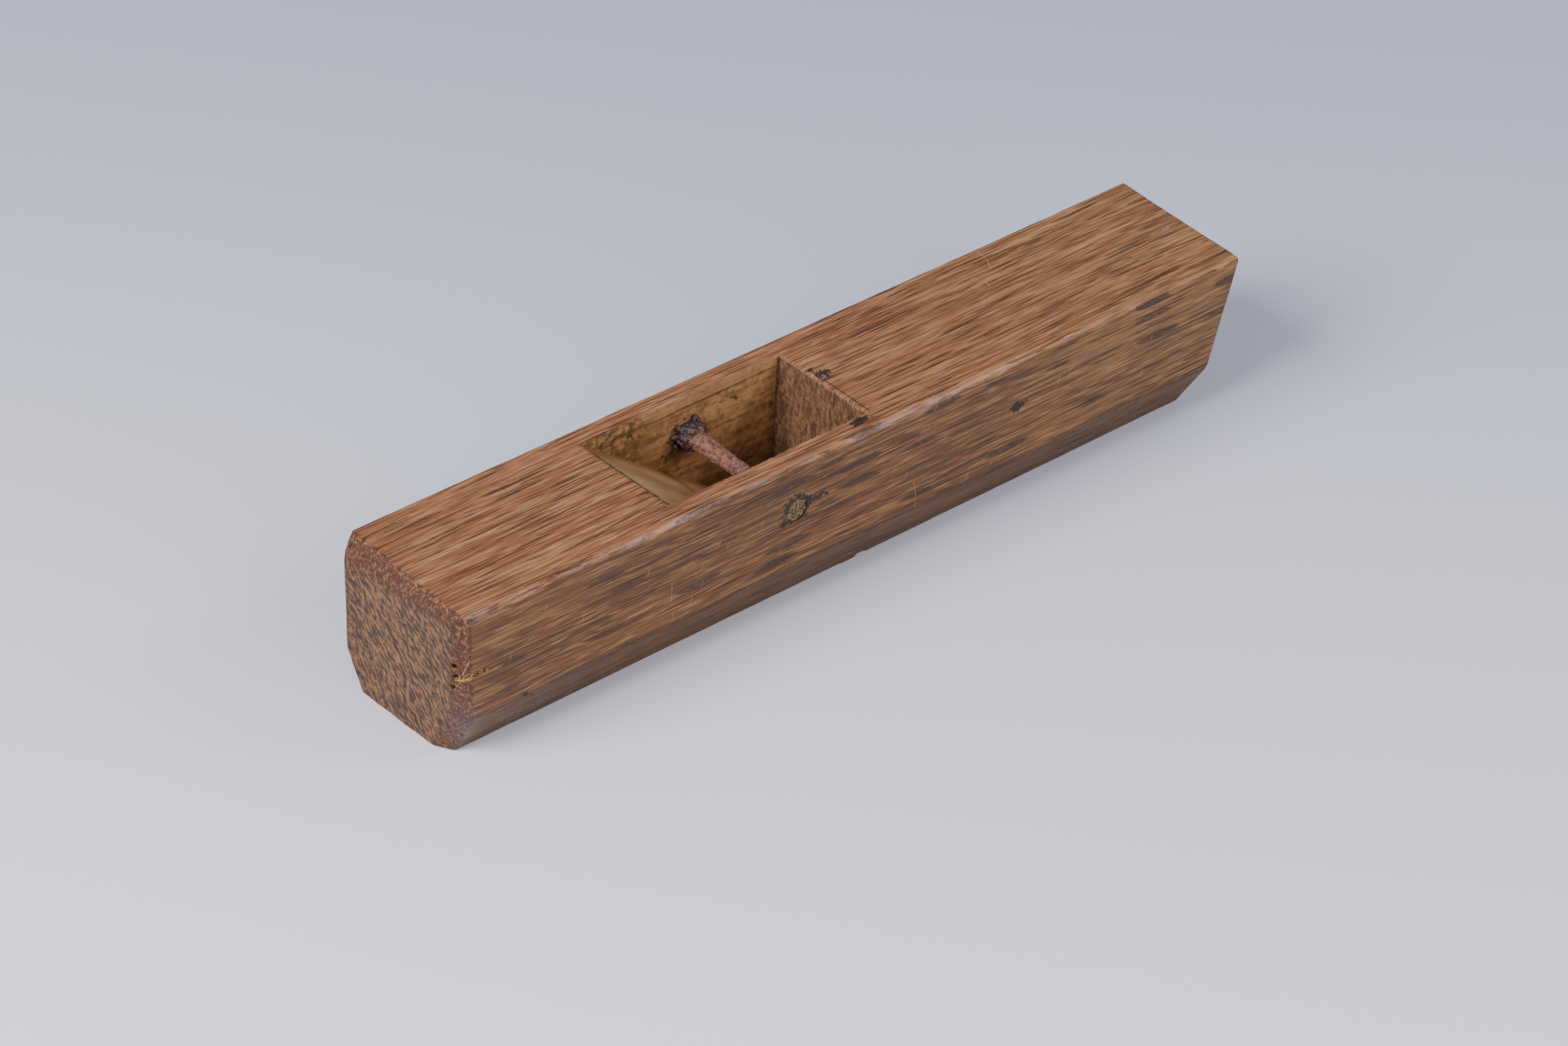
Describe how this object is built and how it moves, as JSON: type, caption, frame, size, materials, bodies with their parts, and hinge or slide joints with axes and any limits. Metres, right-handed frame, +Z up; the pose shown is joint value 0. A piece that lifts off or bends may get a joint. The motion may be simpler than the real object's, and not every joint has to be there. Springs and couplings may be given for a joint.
{
  "type": "wooden hand plane",
  "caption": "Wooden bench plane stock with an open slanted throat, a raked toe and a rusted iron cross pin; its cutting iron and wedge are missing.",
  "frame": {"origin": "under the middle of the stock, on the plane of the sole", "axes": "+X along the stock from heel to toe, +Y across to the far cheek, +Z up from the sole"},
  "size_m": [0.3046, 0.0544, 0.0514],
  "materials": {
    "stock_wood": "handled bare evergreen oak, worn smooth, with dark ray flecks",
    "pin_iron": "deeply rusted wrought iron with a dark glossy crust at the far cheek",
    "nail_iron": "broken iron, dull grey in a black stain"
  },
  "bodies": {
    "root": {"stock": "stock_wood", "cross_pin": "pin_iron", "broken_nail": "nail_iron"}
  },
  "joints": []
}
